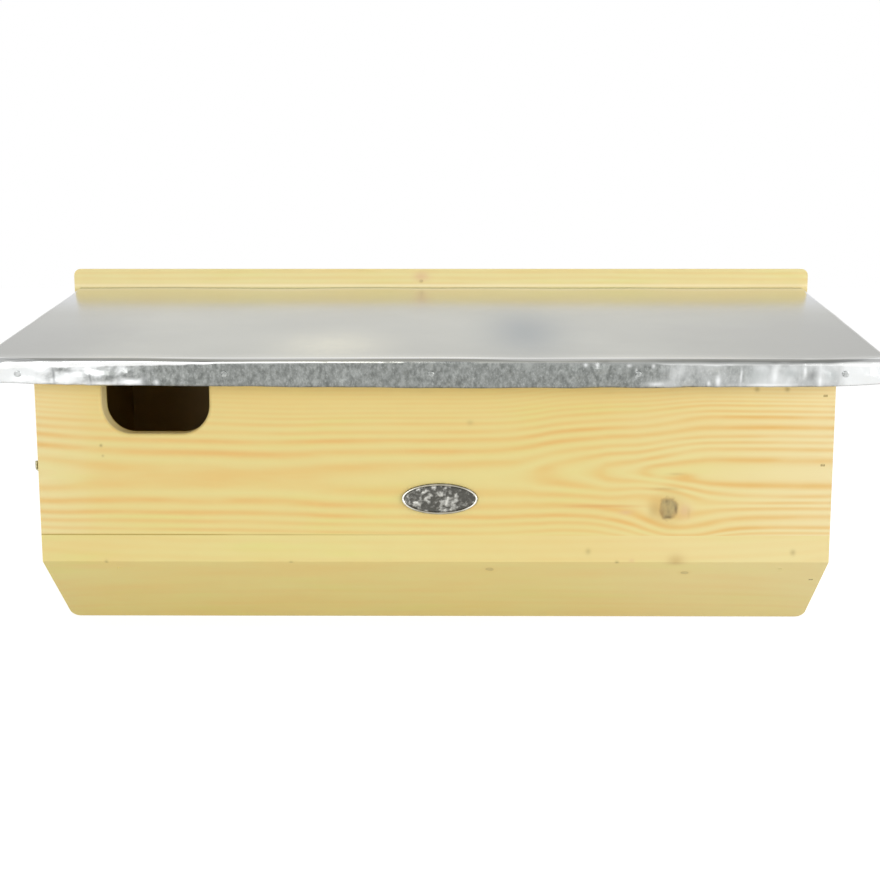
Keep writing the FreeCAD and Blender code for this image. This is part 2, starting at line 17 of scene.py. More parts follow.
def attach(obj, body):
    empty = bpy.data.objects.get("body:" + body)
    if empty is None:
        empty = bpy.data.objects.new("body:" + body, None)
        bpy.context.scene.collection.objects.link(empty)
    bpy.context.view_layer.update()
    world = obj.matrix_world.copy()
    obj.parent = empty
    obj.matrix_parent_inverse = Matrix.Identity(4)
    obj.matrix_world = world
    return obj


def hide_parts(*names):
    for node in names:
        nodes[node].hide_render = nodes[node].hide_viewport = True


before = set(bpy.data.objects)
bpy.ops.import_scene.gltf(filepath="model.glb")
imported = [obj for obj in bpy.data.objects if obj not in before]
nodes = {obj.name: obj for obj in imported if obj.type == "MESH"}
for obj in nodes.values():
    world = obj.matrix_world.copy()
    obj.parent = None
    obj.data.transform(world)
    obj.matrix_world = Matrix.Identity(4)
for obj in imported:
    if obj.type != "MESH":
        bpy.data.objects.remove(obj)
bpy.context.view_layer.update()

# %% [markdown]
# ## Camera
# The photograph looks at the front from a little above, close enough for the roof to spread towards us.
# A camera can be placed by eye, but fitting it to the box's straight edges is surer: the place, tilt and lens
# below are the ones that put the edges of the model onto the edges in the picture.

# %% Camera
SENSOR_MM = 36.0
LENS_MM = 50.42
CAMERA_AT = (0.0194, -0.9209, 0.2275)
CAMERA_PITCH = math.radians(90 - 8.0)
CAMERA_YAW = math.radians(0.325)
FRAMING_SHIFT = -0.0226


def put_in_scene(name, data):
    """A new object in the scene, from a camera, a mesh or a lamp."""
    thing = bpy.data.objects.new(name, data)
    bpy.context.scene.collection.objects.link(thing)
    return thing


camera = put_in_scene("camera", bpy.data.cameras.new("camera"))
camera.data.sensor_width = SENSOR_MM
camera.data.lens = LENS_MM
camera.data.shift_x = FRAMING_SHIFT
camera.location = CAMERA_AT
camera.rotation_euler = (CAMERA_PITCH, 0, CAMERA_YAW)
bpy.context.scene.camera = camera
bpy.context.scene.view_settings.view_transform = "Standard"
print("camera:", LENS_MM, "mm lens, looking down", round(90 - math.degrees(CAMERA_PITCH), 2), "degrees")

# %% [markdown]
# ## Writing materials as formulas
# Wood and metal finishes here are formulas of the place on the board. Node trees can be drawn by hand in the
# editor, but long chains of Math nodes are easier to read as ordinary sums. A `Field` is one number for every
# point of a surface. Adding or multiplying fields adds the matching nodes to the tree.

# %% Fields


def feed(tree, slot, term):
    """Links a field into a node's slot, or writes a plain number there."""
    if isinstance(term, Field):
        tree.links.new(term.socket, slot)
    else:
        slot.default_value = term


class Field:
    """One number for each point of a surface, worked out by shader nodes."""

    def __init__(self, tree, socket):
        self.tree = tree
        self.socket = socket

    def made_by(self, operation, *terms):
        node = self.tree.nodes.new("ShaderNodeMath")
        node.operation = operation
        for slot, term in zip(node.inputs, terms):
            feed(self.tree, slot, term)
        return Field(self.tree, node.outputs[0])

    def __add__(self, other):
        return self.made_by("ADD", self, other)

    def __sub__(self, other):
        return self.made_by("SUBTRACT", self, other)

    def __rsub__(self, other):
        return self.made_by("SUBTRACT", other, self)

    def __mul__(self, other):
        return self.made_by("MULTIPLY", self, other)

    def __truediv__(self, other):
        return self.made_by("DIVIDE", self, other)

    def root(self):
        return self.made_by("SQRT", self)

    def part(self):
        """What is left over the whole number below it."""
        return self.made_by("FRACT", self)

    def whole(self):
        return self.made_by("FLOOR", self)

    def size(self):
        return self.made_by("ABSOLUTE", self)

    def bell(self):
        """1 at zero, falling softly to 0 on both sides."""
        return self.made_by("POWER", math.e, self * self * -1.0)

    def most(self, other):
        return self.made_by("MAXIMUM", self, other)

    def step(self, low, high):
        """0 up to low, 1 from high, and a smooth climb between them."""
        node = self.tree.nodes.new("ShaderNodeMapRange")
        node.interpolation_type = "SMOOTHSTEP"
        feed(self.tree, node.inputs["Value"], self)
        node.inputs["From Min"].default_value = low
        node.inputs["From Max"].default_value = high
        return Field(self.tree, node.outputs[0])

    def between(self, rise, high, fall, low):
        """0, then a climb from rise to high, then a drop from fall to low."""
        return self.step(rise, high) * (1.0 - self.step(fall, low))


print("fields: sums, roots, bells and steps")

# %% [markdown]
# ### Curves, noise and colour
# A few more tools: a line drawn through points, cloudy noise, one throw of the dice for each ring, and a tint that
# is laid over another like a glaze. Colours are written as a screen shows them, because that is how they are read
# off a picture, and are turned into amounts of light here.

# %% Curves, noise and colour


def curve(field, points):
    """A smooth line through (place, value) points, read at the field."""
    (first, _), (last, _) = points[0], points[-1]
    lowest = min(value for _, value in points)
    spread = max(value for _, value in points) - lowest
    node = field.tree.nodes.new("ShaderNodeFloatCurve")
    line = node.mapping.curves[0]
    scaled = [((place - first) / (last - first), (value - lowest) / spread) for place, value in points]
    for handle, end in zip((line.points[0], line.points[-1]), (scaled[0], scaled[-1])):
        handle.location = end
    for point in scaled[1:-1]:
        line.points.new(*point)
    node.mapping.update()
    feed(field.tree, node.inputs["Value"], (field - first) / (last - first))
    return Field(field.tree, node.outputs[0]) * spread + lowest


def grain_noise(fields, scales, detail=2.0, rough=0.5):
    """Cloudy noise about zero, stretched by a scale for each of three fields."""
    tree = fields[0].tree
    joined = tree.nodes.new("ShaderNodeCombineXYZ")
    for slot, field, scale in zip(joined.inputs, fields, scales):
        feed(tree, slot, field * scale)
    node = tree.nodes.new("ShaderNodeTexNoise")
    node.inputs["Scale"].default_value = 1.0
    node.inputs["Detail"].default_value = detail
    node.inputs["Roughness"].default_value = rough
    tree.links.new(joined.outputs[0], node.inputs["Vector"])
    return (Field(tree, node.outputs[0]) - 0.5) * 2.0


def dice(field):
    """A different steady number from 0 to 1 for each whole number."""
    node = field.tree.nodes.new("ShaderNodeTexWhiteNoise")
    node.noise_dimensions = "1D"
    feed(field.tree, node.inputs["W"], field)
    return Field(field.tree, node.outputs["Value"])


def tint(field, below, colour):
    """Blends a colour over what lies below it, as far as the field says."""
    tree = field.tree
    node = tree.nodes.new("ShaderNodeMix")
    node.data_type = "RGBA"
    feed(tree, node.inputs["Factor"], field)
    for slot, shade in ((node.inputs["A"], below), (node.inputs["B"], colour)):
        if isinstance(shade, tuple):
            slot.default_value = (*shade, 1.0)
        else:
            tree.links.new(shade, slot)
    return node.outputs["Result"]


def linear(red, green, blue):
    """A colour as a screen shows it, 0 to 255, turned into the light that Blender reckons with."""
    shares = [value / 255 for value in (red, green, blue)]
    return tuple(s / 12.92 if s <= 0.04045 else ((s + 0.055) / 1.055) ** 2.4 for s in shares)


print("colour check: mid grey 128 is", round(linear(128, 128, 128)[0], 3), "of full light")

# %% [markdown]
# ### Starting and finishing a material
# Every finish starts as an empty shader and ends with a colour, a roughness and a fine relief. Real surfaces also
# carry odd marks. A mark is a soft oval spot with a place, a length, a width and a strength.

# %% Starting and finishing a material


def new_finish(name, metallic=0.0):
    """An empty material, with its node tree and its shader."""
    material = bpy.data.materials.new(name)
    material.use_nodes = True
    shader = material.node_tree.nodes["Principled BSDF"]
    shader.inputs["Metallic"].default_value = metallic
    return material, material.node_tree, shader


def set_finish(tree, shader, colour, rough, height, strength, distance):
    """Gives the shader its colour, roughness and fine relief."""
    tree.links.new(colour, shader.inputs["Base Color"])
    tree.links.new(rough.socket, shader.inputs["Roughness"])
    bump = tree.nodes.new("ShaderNodeBump")
    bump.inputs["Strength"].default_value = strength
    bump.inputs["Distance"].default_value = distance
    tree.links.new(height.socket, bump.inputs["Height"])
    tree.links.new(bump.outputs[0], shader.inputs["Normal"])


def spot(along, across, mark):
    """A soft oval spot: its place, its half length and half width, and its strength."""
    at_along, at_across, long, wide, depth = mark
    beside, above = (along - at_along) / long, (across - at_across) / wide
    return (beside * beside + above * above).root().bell() * depth


print("finishes: colour, roughness, relief and spots")

# %% [markdown]
# ## Pine
# A pine board is a slice through the tree's yearly rings. Pale early wood turns slowly to orange late wood, and
# then starts again at a sharp line. A picture of wood could be pasted on, but a solid texture is better:
# each point of the board asks how far it is from the heart of the tree, so faces, edges and ends agree.
# Where the heart runs almost level with the face, the rings show as long arches, as they do on this front.

# %% A board's own directions


def board_fields(tree, origin, along, across):
    """Millimetres along the grain, across it on the face, and down into the board."""
    place = tree.nodes.new("ShaderNodeTexCoord")
    shifted = tree.nodes.new("ShaderNodeVectorMath")
    shifted.operation = "SUBTRACT"
    tree.links.new(place.outputs["Object"], shifted.inputs[0])
    shifted.inputs[1].default_value = origin
    fields = []
    for axis in (Vector(along), Vector(across), Vector(along).cross(Vector(across))):
        measured = tree.nodes.new("ShaderNodeVectorMath")
        measured.operation = "DOT_PRODUCT"
        tree.links.new(shifted.outputs[0], measured.inputs[0])
        measured.inputs[1].default_value = axis * 1000
        fields.append(Field(tree, measured.outputs["Value"]))
    return fields


print("a board is measured along its grain, across it and into its thickness, in mm")

# %% [markdown]
# ### Rings that flow round knots
# A knot is a branch that the trunk grew over, so the rings part in front of it and close behind it. Pulling
# the across-the-grain measure towards the knot's middle makes every ring near it swing round it. How wide each
# year's ring is comes from a growth curve: young trees grow fast, and the outer rings are narrow.

# %% Ring field
EVEN_GROWTH = [(0, 0.41), (110, 25.41)]


def flow_round(across, along, knots):
    for knot in knots:
        beside = (along - knot["along"]) / knot.get("reach", knot["long"] * 2.8)
        above = across - knot.get("heart", knot["across"])
        up, down = knot.get("spread", (knot["wide"] * 1.9, knot["wide"] * 1.9))
        away = above.most(0.0) / up + (above * -1.0).most(0.0) / down
        across = across - above * beside.bell() * away.bell() * 0.95
    return across


def rings(along, across, through, heart_line, axis_line, growth, far_growth, knots, wander):
    """Counts the yearly rings between the heart of the tree and each point."""
    slow = grain_noise((along, across, through), (0.007, 0.03, 0.03))
    quick = grain_noise((along, across, through), (0.03, 0.16, 0.16))
    across = flow_round(across, along, knots)
    if axis_line:
        across = across - curve(along, axis_line)
    across = across + slow * wander + quick * wander * 0.16
    depth = curve(along, heart_line) + through
    distance = (across * across + depth * depth).root()
    count = curve(distance, growth)
    if far_growth:
        start, end, points = far_growth
        count = count + (curve(distance, points) - count) * along.step(start, end)
    return count


print("even growth:", EVEN_GROWTH[1][0] / (EVEN_GROWTH[1][1] - EVEN_GROWTH[0][1]), "mm a year")

# %% [markdown]
# ### Inside a knot
# Seen from its middle outwards, a knot is hard brown wood, then a thin rim of bark, then a stained surround that
# fades into the board. No knot is a true oval, so a noise makes its outline ragged.

# %% Knot field


def knot_marks(along, across, knots):
    """How far each point is inside a knot's core, its bark rim and its stained surround."""
    core = rim = halo = None
    ragged = grain_noise((along, across, along), (0.22, 0.22, 0.0), detail=3.0) * 0.4
    for knot in knots:
        beside = (along - knot["along"]) / knot["long"]
        above = (across - knot["across"]) / knot["wide"]
        away = (beside * beside + above * above).root() + ragged
        marks = (1.0 - away.step(0.7, 1.15), away.between(0.6, 0.95, 0.95, 1.3), 1.0 - away.step(0.9, 2.8))
        marks = [mark * knot.get("depth", 1.0) for mark in marks]
        if core is None:
            core, rim, halo = marks
        else:
            core, rim, halo = core.most(marks[0]), rim.most(marks[1]), halo.most(marks[2])
    return core, rim, halo


print("a knot has a core, a rim and a surround")

# %% [markdown]
# ### Colour of the wood
# Fresh pine is a pale straw yellow. The late wood keeps the same red but loses green and blue, which is why its
# lines look orange and not dark. A knot is darker, with a rim of bark and a stained surround.

# %% Shades of the wood
PALE = linear(229, 216, 145)
WARM = linear(230, 207, 135)
GREENISH = linear(224, 215, 133)
LATE = linear(228, 187, 109)
STAIN = linear(214, 182, 112)
BLEACHED = linear(240, 224, 174)
KNOT_CORE = linear(166, 150, 104)
KNOT_DARK = linear(98, 84, 52)
KNOT_RIM = linear(160, 126, 74)
SPECK = linear(138, 116, 62)
PINKISH = linear(222, 184, 140)
BROWN = linear(186, 150, 88)
SEAM_SHADOW = linear(171, 148, 59)
SAWN_AND_SHADOWED = linear(204, 172, 104)


def draw_knots(fields, knots, colour):
    """Lays the stain, the bark rim and the speckled core of each knot over the wood, and gives the rim too."""
    run, side, _ = fields
    core, rim, halo = knot_marks(run, side, knots)
    speckle = grain_noise(fields, (0.3, 0.14, 0.14), detail=2.0, rough=0.5).step(-0.25, 0.5)
    colour = tint(halo * 0.4, colour, STAIN)
    colour = tint(rim * 0.45, colour, KNOT_RIM)
    colour = tint(core * 0.75, colour, KNOT_CORE)
    return tint(core * speckle * 0.4, colour, KNOT_DARK), rim


for season, shade in (("early", PALE), ("late", LATE)):
    print(season, "wood:", [round(share, 2) for share in shade])

# %% [markdown]
# ### A board's finish
# The finish is laid on in the order a board gets it: first the wood's own colour and its rings, then the knots, then
# the odd marks on the face, some of them painted light and shade, then a painted shadow in the joint, and last the
# faces that the plane never touched, with painted shade inside the box and painted light in the entrance.

# %% Pine finish


def pine(name, origin, along, across, heart_line, axis_line=None, growth=EVEN_GROWTH, far_growth=None,
         late_by_ring=None, knots=(), wander=2.0, late=1.0, warmth_and_shade=None, bleach=None, marks=(), shallow=False,
         seam_shadow=None, faces=(), pale=PALE, warm=WARM):
    """A pine finish whose grain runs along one direction of a board."""
    material, tree, shader = new_finish(name)
    run, side, deep = board_fields(tree, origin, along, across)
    count = rings(run, side, deep, heart_line, axis_line, growth, far_growth, knots, wander)
    strength = curve(count.whole(), late_by_ring) if late_by_ring else dice(count.whole()) * 0.7 + 0.3
    fade = grain_noise((run, side, deep), (0.018, 0.1, 0.1)).step(-0.6, 0.5) * 0.65 + 0.4
    line = ((count.part() - 0.55) / 0.29).bell() * strength * fade * late
    fibre = grain_noise((run, side, deep), (0.05, 2.2, 2.2), detail=4.0, rough=0.65)
    cloud = grain_noise((run, side, deep), (0.012, 0.05, 0.05), detail=3.0).step(-0.5, 0.6)
    sap = grain_noise((run, deep, side), (0.011, 0.06, 0.06), detail=3.0).step(0.0, 0.5)
    # Warmer by place across the board; on the front panel the warmth near the top is also painted shade under the
    # flap.
    if warmth_and_shade:
        cloud = cloud * 0.4 + curve(side, warmth_and_shade)
    colour = tint(cloud, pale, warm)
    colour = tint(sap * 0.6, colour, GREENISH)
    if bleach:
        colour = tint(curve(run, bleach), colour, BLEACHED)
    colour = tint(line, colour, LATE)
    colour = tint(fibre.step(0.0, 1.0) * 0.2, colour, LATE)
    relief = line * 0.5 + fibre * 0.35
    if knots:
        colour, rim = draw_knots((run, side, deep), knots, colour)
        relief = relief - rim * 1.5
    on_face = 1.0 - deep.size().step(0.5, 2.0)
    for *mark, shade in marks:
        strength = spot(run, side, mark)
        colour = tint(strength * on_face if shallow else strength, colour, shade)
    # Painted shadow: a dark line along the joint with the slope board stands for the shade in a gap between the
    # boards.
    if seam_shadow:
        level, reach = seam_shadow
        colour = tint(((side - level) / 0.45).bell() * curve(run, reach) * on_face, colour, SEAM_SHADOW)
    # The faces left unplaned: painted shade inside the box, and painted light on the entrance wall.
    for place, shade in faces:
        colour = tint(place(run, side, deep), colour, shade)
    set_finish(tree, shader, colour, 0.58 - line * 0.1 + fibre * 0.05, relief, strength=0.25, distance=0.0003)
    return material


print("pine: rings, fibres, knots, marks and sawn faces")

# %% [markdown]
# ### The front panel's own grain
# This is the board everyone looks at, so its heart line is drawn from the real one. The heart lies about 17 mm
# behind the face on the left, where one ring only just breaks the surface as a broad warm band. To the right it
# rises towards the face, and each ring that it crosses leaves an arch. It comes out near the knot.

# %% Front panel grain
RIGHT = (1, 0, 0)
UP = (0, 0, 1)
FRONT_KNOT = {
    "along": 141.6, "across": -17.4, "long": 5.2, "wide": 6.4, "heart": -14.5, "reach": 28, "spread": (10, 22)}
FRONT_HEART = [
    (-245, 14.6), (-230, 15.1), (-200, 16.6), (-180, 17.1), (-135, 17.25), (-118, 17.6), (-95, 17.6), (-80, 17.2),
    (-64, 16.4), (-50, 16.1), (20, 15.3), (45, 14.9), (55.5, 14.3), (64, 13.2), (74, 12.0), (88, 10.3), (94, 9.5),
    (100, 8.4), (105, 7.2), (112, 6.3), (121, 5.3), (127, 4.2), (133, 3.0), (147, 1.5), (166, 1.0), (245, 1.2)]
FRONT_AXIS = [(-245, 5.0), (-200, 2.5), (-130, 1.4), (-50, 0.4), (20, 0.5), (60, 2.3), (100, 4.5), (245, 4.2)]
FRONT_GROWTH = [
    (0, -0.45), (4.2, 0.55), (8.35, 1.55), (13.2, 2.55), (17.6, 3.55), (22.8, 4.55), (28.1, 5.55), (32.5, 6.55),
    (36.9, 7.55), (41, 8.8), (72, 21.7)]
PAST_THE_KNOT = (120, 168, [
    (0, 0.0), (4, 0.15), (7.75, 0.55), (14.2, 1.55), (18.3, 2.55), (22, 3.55), (27.3, 4.55), (33.5, 5.55), (37, 6.55),
    (40.5, 7.55), (43, 8.55), (72, 20.7)])
FRONT_LATE = [
    (-1, 0.4), (0, 0.95), (1, 0.75), (2, 0.7), (3, 0.7), (4, 1.0), (5, 1.0), (6, 0.6), (7, 0.6), (8, 0.4), (10, 0.3),
    (22, 0.28)]
# How strong the painted shadow in the joint is along the front panel.
FRONT_SEAM_SHADOW = [
    (-245, 1.0), (-134, 0.9), (-116, 0.5), (-98, 0.65), (-80, 0.5), (-56, 0.4), (-20, 0.2), (20, 0.0), (245, 0.0)]
FRONT_MARKS = [
    (-201.4, 20.7, 0.9, 0.9, 0.6, SPECK), (-200.5, 14.4, 0.8, 0.8, 0.35, SPECK), (21.4, 34.7, 2.0, 1.6, 0.2, SPECK),
    # The two specks at 193 and 211 mm, 55 mm up, just under the flap's edge, are painted shadow.
    (193, 55, 1.5, 1.5, 0.5, SPECK), (211, 55, 1.5, 1.5, 0.5, SPECK), (151.5, 1.5, 6.5, 2.4, 0.9, LATE),
    (151.5, -19, 4, 4.5, 0.6, PINKISH), (154, -20.5, 1.0, 3, 0.2, BROWN), (133.5, -18.5, 4, 5, 0.45, BROWN),
    (138.5, -5.6, 8, 0.9, 0.35, BROWN), (146, 3.6, 5, 0.8, 0.3, BROWN), (135, 1.2, 5, 3, 0.5, PALE),
    (102, -16.2, 20, 1.0, 0.75, linear(220, 170, 98)), (116, -20, 4, 1.5, 0.5, PINKISH),
    (146.2, -18, 0.9, 2.8, 0.7, KNOT_DARK), (142, -23, 2.4, 0.9, 0.7, KNOT_DARK),
    (140.4, -13, 0.9, 1.2, 0.5, KNOT_DARK), (138, -20.5, 1.6, 2.6, 0.5, KNOT_RIM)]
print("front panel: heart", max(deep for _, deep in FRONT_HEART), "mm deep at most,", len(FRONT_MARKS), "marks")

# %% [markdown]
# ### Faces that differ
# Only the outside of a board is planed. Inside the box the faces are left as the saw leaves them, and look browner;
# their darker colour is also painted shade. The cut through the board, which shows in the entrance, is fresh and pale,
# and painted paler still as painted light. Depth into the board tells them apart.

# %% Front panel finish
# Faces below this depth are the sawn inside faces, whose browner colour is partly painted shade.
SAWN_FROM, SAWN_FULL = 11.0, 11.7


def front_inner_face(run, side, deep):
    return (deep * -1.0).step(SAWN_FROM, SAWN_FULL)


def entrance_wall_light(run, side, deep):
    """The thickness of the board, as it shows in the entrance, painted paler as painted light on it."""
    return (deep * -1.0).between(0.6, 1.4, 10.0, 11.0) * 0.7


front_pine = pine(
    "front_pine", (0, -0.186, 0.100), RIGHT, UP, FRONT_HEART, FRONT_AXIS, FRONT_GROWTH, PAST_THE_KNOT, FRONT_LATE,
    [FRONT_KNOT], wander=0.9, marks=FRONT_MARKS, shallow=True,
    # Warmer towards the bottom and most towards the top, where it is partly painted shade under the flap.
    warmth_and_shade=[(-45, 0.45), (-20, 0.3), (5, 0.1), (25, 0.3), (45, 0.6), (67, 0.75)],
    bleach=[(-245, 0.5), (-215, 0.2), (-190, 0.0), (80, 0.0), (120, 0.15), (165, 0.3), (200, 0.55), (240, 0.8)],
    seam_shadow=(-34.2, FRONT_SEAM_SHADOW),
    faces=[(front_inner_face, SAWN_AND_SHADOWED), (entrance_wall_light, BLEACHED)])
print("front panel: sawn from", SAWN_FROM, "mm below its face")

# %% [markdown]
# ### The other boards
# The boards that the picture shows less of take an even ring spacing and a heart well below the face, which gives
# long quiet lines. The slope board has two small knots, and the back board one in the strip above the roof.

# %% Other boards' finishes
SLOPE_DOWN = Vector((0, 52, -49)).normalized()


def inner_face(run, side, deep):
    return deep.step(SAWN_FROM, SAWN_FULL)


def slope_inner_face(run, side, deep):
    """The sawn face with its painted shade, but not the thin edge that shows at the front."""
    return inner_face(run, side, deep) * (side * SLOPE_DOWN.y - deep * SLOPE_DOWN.z).step(0.2, 0.6)


def behind_the_body(run, side, deep):
    return deep.step(-0.6, -0.1) * (1.0 - side.step(77, 78)) * (1.0 - run.size().step(227.5, 228.5))


slope_pine = pine(
    "slope_pine", (0, -0.186, 0.049), RIGHT, SLOPE_DOWN, [(-250, 60), (0, 66), (250, 58)], late=0.18,
    knots=[{"along": 33.5, "across": 9, "long": 2.4, "wide": 1.8, "depth": 0.35},
           {"along": 154, "across": 13, "long": 2.2, "wide": 1.6, "depth": 0.5}],
    marks=[(93.4, -4.6, 1.6, 1.2, 0.3, SPECK), (218, -4.2, 1.6, 1.2, 0.35, SPECK), (111, 0.5, 1.2, 0.9, 0.6, SPECK),
           (120, -0.6, 1.6, 0.9, 0.4, PINKISH), (147, 0, 5, 3.2, 0.5, BROWN), (-201, 0.5, 1.0, 1.0, 0.5, SPECK),
           (-88, 0.5, 1.2, 0.8, 0.4, SPECK)],
    bleach=[(-245, 0.0), (60, 0.1), (150, 0.35), (245, 0.45)], faces=[(slope_inner_face, SAWN_AND_SHADOWED)])
back_pine = pine(
    "back_pine", (0, -0.012, 0.12), RIGHT, UP,
    [(-270, 24), (0, 22), (270, 26)], late=0.6, pale=linear(233, 221, 158), warm=linear(234, 214, 150),
    knots=[{"along": -14, "across": 97.2, "long": 1.2, "wide": 1.1, "depth": 0.6}],
    # The long pale band along the batten's lower edge, just above the roof, is painted light reflected from the zinc.
    marks=[(-14, 100.5, 5.5, 3.6, 0.7, PINKISH), (0, 94.0, 500, 1.1, 0.9, linear(246, 232, 186))],
    shallow=True, faces=[(behind_the_body, SAWN_AND_SHADOWED)])
floor_pine = pine(
    "floor_pine", (0, -0.07, 0), RIGHT, (0, 1, 0), [(-250, 30), (0, 26), (250, 28)], faces=[(inner_face, SAWN_AND_SHADOWED)])
roof_pine = pine("roof_pine", (0, -0.11, 0.18), RIGHT, (0, 1, 0), [(-270, 26), (0, 30), (270, 34)])
right_pine = pine(
    "right_pine", (0.24, -0.09, 0.09), UP, (0, 1, 0), [(-100, 20), (0, 17), (110, 22)], faces=[(inner_face, SAWN_AND_SHADOWED)])
door_pine = pine(
    "door_pine", (-0.24, -0.10, 0.09), UP, (0, 1, 0), [(-100, 16), (0, 19), (110, 15)],
    faces=[(front_inner_face, SAWN_AND_SHADOWED)])
print("slope board falls", round(math.degrees(math.asin(-SLOPE_DOWN.z)), 1), "degrees")

# %% [markdown]
# ### Dressing the boards
# Each finish is linked to the object and not to its mesh, so the CAD mesh stays as it came.

# %% Dressing the boards
BOARD_FINISH = {
    "front_panel": front_pine, "slope_board": slope_pine, "back_board": back_pine, "floor_board": floor_pine,
    "roof_board": roof_pine, "right_side_panel": right_pine, "cleaning_door": door_pine,
}


def dress(node_name, material):
    """Gives a CAD piece its finish without touching its mesh."""
    for place in nodes[node_name].material_slots:
        place.link = "OBJECT"
        place.material = material


for board, material in BOARD_FINISH.items():
    dress(board, material)
print("boards finished:", sorted(BOARD_FINISH))

# %% [markdown]
# ## Zinc roof sheet
# One sheet of zinc lies on the roof board and is folded down over its front and its two rakes, then dressed with
# a mallet and nailed. A solid block with rounded edges would look machine-made, so the sheet is built as a grid:
# flat where the board holds it, tight at the nails, and bulging or dented a little everywhere between them.

# %% Where the sheet lies
PITCH = math.radians(10.8)
FOLD_Y = -0.2100
FOLD_Z = 0.17385
SHEET_END = 0.265
BACK_FACE_Y = -0.012
SHEET_RUN = (BACK_FACE_Y - FOLD_Y) / math.cos(PITCH)
FLAP = 0.0156
ROOF_RISE = Vector((0, math.cos(PITCH), math.sin(PITCH)))
ROOF_OUT = Vector((0, -math.sin(PITCH), math.cos(PITCH)))
FRONT_NAILS = [-0.2415 + 0.12 * number for number in range(5)]
RAKE_NAILS = [0.03 + (SHEET_RUN - 0.06) / 2 * number for number in range(3)]
NAIL_DROP = 0.008


def on_sheet(x, along, down):
    """A point of the flat-folded sheet: along the roof from the front fold, and down from its top face."""
    return Vector((x, FOLD_Y, FOLD_Z)) + ROOF_RISE * along - ROOF_OUT * down


print("sheet runs", round(SHEET_RUN * 1000, 1), "mm up the roof")

# %% [markdown]
# ### Folding the lid
# The flat-folded lid is a grid of the top face and three flaps that share their edges. Bevelling the shared
# edges gives the soft bend of a sheet folded by hand, and leaves an even mesh for the dents.

# %% Flat-folded lid
FOLD_RADIUS = 0.0022
COLUMNS = [-SHEET_END] + [-SHEET_END + 0.003 + 0.524 * i / 320 for i in range(321)] + [SHEET_END]
ROWS = [0.0] + [0.004 + (SHEET_RUN - 0.004) * j / 44 for j in range(45)]
DROPS = [0.0] + [0.18 + 0.82 * k / 9 for k in range(10)]


def flap_length(x):
    """The cut edge wanders, and is a little shorter towards the ends."""
    short = 0.0020 * max(0, abs(x) / SHEET_END - 0.84) / 0.16
    sag = 0.0007 * math.exp(-((x - 0.03) / 0.13) ** 2) - 0.0011 * math.exp(-((x + 0.235) / 0.09) ** 2)
    return FLAP - short + sag + 0.0005 * noise.noise(Vector((x * 35, 7.7, 0)))


lid = bmesh.new()


def add_faces(lines):
    for line, following in zip(lines, lines[1:]):
        for quad in zip(line, line[1:], following[1:], following):
            lid.faces.new(quad)


top = [[lid.verts.new(on_sheet(x, along, 0)) for x in COLUMNS] for along in ROWS]
front = [top[0]] + [
    [lid.verts.new(on_sheet(x, 0, flap_length(x) * share)) for x in COLUMNS] for share in DROPS[1:]]
add_faces(top)
add_faces(front)
for end, x in ((0, -SHEET_END), (-1, SHEET_END)):
    rake = [[row[end] for row in top]]
    for line, share in zip(front[1:], DROPS[1:]):
        rake.append([line[end]] + [lid.verts.new(on_sheet(x, along, flap_length(x) * share)) for along in ROWS[1:]])
    add_faces(rake)
bmesh.ops.recalc_face_normals(lid, faces=lid.faces)
folds = [edge for edge in lid.edges if len(edge.link_faces) == 2 and edge.calc_face_angle() > 1]
bmesh.ops.bevel(
    lid, geom=folds, offset=FOLD_RADIUS, segments=4, profile=0.5, affect="EDGES", clamp_overlap=False)
lid.normal_update()
print("lid faces:", len(lid.faces), "fold edges bevelled:", len(folds))

# %% [markdown]
# ### Dents and bulges
# The nails hold the flaps tight, and the mallet leaves shallow marks under the fold. Each mark is a small bell
# pushed out of the sheet, because the board behind stops it going in.

# %% Mallet marks and creases
dents = random.Random(11)


def bell(distance, width):
    return math.exp(-(distance / width) ** 2)


def some_marks(count, reach, wide, high):
    return [(dents.uniform(*reach), dents.uniform(0.002, 0.0155), dents.uniform(*wide), dents.uniform(0.0012, 0.0035),
             dents.uniform(*high)) for _ in range(count)]


MALLET_MARKS = some_marks(110, (-0.26, 0.26), (0.0015, 0.005), (0.00005, 0.0003))
MALLET_MARKS += some_marks(36, (-0.26, -0.17), (0.0015, 0.006), (0.0003, 0.0008))
MALLET_MARKS += some_marks(44, (0.08, 0.26), (0.0015, 0.006), (0.0003, 0.0008))
CREASES = [(-0.2335, 0.0016, 0.0008), (-0.2125, 0.0012, 0.0007), (-0.253, 0.002, 0.0006), (-0.178, 0.0014, 0.0005),
           (0.1, 0.001, 0.0005), (0.216, 0.0016, 0.0006), (0.2335, 0.0014, 0.0006), (0.252, 0.002, 0.0007),
           (0.171, 0.0015, 0.0006), (0.144, 0.0012, 0.0005)]
print("mallet marks:", len(MALLET_MARKS), "creases:", len(CREASES))

# %% [markdown]
# ### How far the sheet stands out
# On the flaps the marks and creases add up, and each nail presses them flat around it. On the roof there are only
# long soft waves that a reflection shows, a lifted rear edge and a slight roll along the fold.

# %% Relief of the sheet


def flap_relief(x, down, nails):
    """How far a flap stands out from the board's edge."""
    out = max(0.0006 * (0.5 + noise.noise(Vector((x * 22, down * 60, 3.1)))), 0)
    for centre, level, wide, tall, high in MALLET_MARKS:
        if abs(x - centre) < 3 * wide:
            out += high * bell(x - centre, wide) * bell(down - level, tall)
    for centre, wide, high in CREASES:
        out += high * bell(x - centre, wide) * bell(down - 0.007, 0.008)
    for nail in nails:
        out *= 1 - bell(math.hypot(x - nail, down - NAIL_DROP), 0.0042)
    return out


